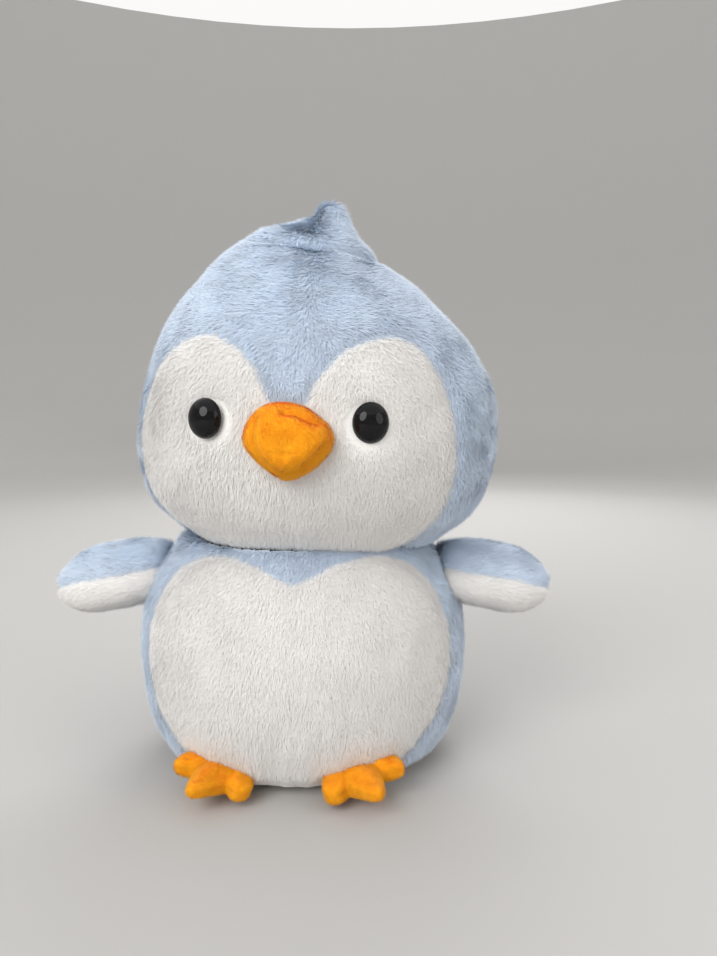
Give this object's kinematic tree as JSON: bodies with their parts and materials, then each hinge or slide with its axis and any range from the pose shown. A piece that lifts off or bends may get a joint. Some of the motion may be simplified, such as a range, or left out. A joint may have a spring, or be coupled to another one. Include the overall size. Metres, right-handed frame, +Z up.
{
  "type": "plush penguin",
  "caption": "Seated plush penguin with a large domed head, orange beak, paddle wings and splayed toed feet.",
  "frame": {"origin": "middle of the base panel, on the plane the toy sits on", "axes": "+Z up, the face looks along -Y, +X is the right-hand side as seen from the front"},
  "size_m": [0.2682, 0.1923, 0.2977],
  "materials": {
    "blue_plush": "matte",
    "white_plush": "matte",
    "orange_plush": "matte",
    "fill": "matte",
    "thread": "matte",
    "eye_black": "gloss",
    "washer_plastic": "satin"
  },
  "bodies": {
    "trunk": {"belly_panel_left": "white_plush", "chest_panel_left": "blue_plush", "back_panel_left": "blue_plush", "belly_panel_right": "white_plush", "chest_panel_right": "blue_plush", "back_panel_right": "blue_plush", "base_panel": "white_plush", "body_stuffing": "fill", "closing_stitches": "thread"},
    "neck": {"neck_stuffing": "fill"},
    "head": {"crown_cap": "blue_plush", "face_panel_left": "white_plush", "forehead_panel_left": "blue_plush", "head_back_left": "blue_plush", "eye_left": "eye_black", "eye_washer_left": "washer_plastic", "face_panel_right": "white_plush", "forehead_panel_right": "blue_plush", "head_back_right": "blue_plush", "eye_right": "eye_black", "eye_washer_right": "washer_plastic", "beak_upper": "orange_plush", "beak_lower": "orange_plush", "beak_stuffing": "fill", "head_stuffing": "fill"},
    "crest": {"crest": "blue_plush"},
    "wing_left": {"wing_left_underside": "white_plush", "wing_left_top": "blue_plush", "wing_left_stuffing": "fill"},
    "foot_left": {"foot_left_stuffing": "fill", "foot_left_top": "orange_plush", "foot_left_sole": "orange_plush"},
    "wing_right": {"wing_right_underside": "white_plush", "wing_right_top": "blue_plush", "wing_right_stuffing": "fill"},
    "foot_right": {"foot_right_stuffing": "fill", "foot_right_top": "orange_plush", "foot_right_sole": "orange_plush"}
  },
  "joints": [
    {"name": "head_nod", "type": "hinge", "parent": "trunk", "child": "neck", "pos_m": [0, 0, 0.1185], "axis": [1, 0, 0], "range_deg": [-8, 8], "stiffness_Nm_per_rad": 2},
    {"name": "head_turn", "type": "hinge", "parent": "neck", "child": "head", "pos_m": [0, 0, 0.1185], "axis": [0, 0, 1], "range_deg": [-15, 15], "stiffness_Nm_per_rad": 1},
    {"name": "crest_bend", "type": "hinge", "parent": "head", "child": "crest", "pos_m": [0.01727, -0.00078, 0.28271], "axis": [0, 1, 0], "range_deg": [-25, 25], "stiffness_Nm_per_rad": 0.02},
    {"name": "wing_left_flap", "type": "hinge", "parent": "trunk", "child": "wing_left", "pos_m": [-0.08, -0.004, 0.101], "axis": [0, 0.9397, 0.342], "range_deg": [-18, 40], "stiffness_Nm_per_rad": 0.15},
    {"name": "foot_left_flex", "type": "hinge", "parent": "trunk", "child": "foot_left", "pos_m": [-0.033, -0.053, 0.007], "axis": [-0.9563, 0.2924, 0], "range_deg": [0, 25], "stiffness_Nm_per_rad": 0.1},
    {"name": "wing_right_flap", "type": "hinge", "parent": "trunk", "child": "wing_right", "pos_m": [0.08, -0.004, 0.101], "axis": [0, -0.9397, -0.342], "range_deg": [-18, 40], "stiffness_Nm_per_rad": 0.15},
    {"name": "foot_right_flex", "type": "hinge", "parent": "trunk", "child": "foot_right", "pos_m": [0.033, -0.053, 0.007], "axis": [-0.9563, -0.2924, 0], "range_deg": [0, 25], "stiffness_Nm_per_rad": 0.1}
  ]
}
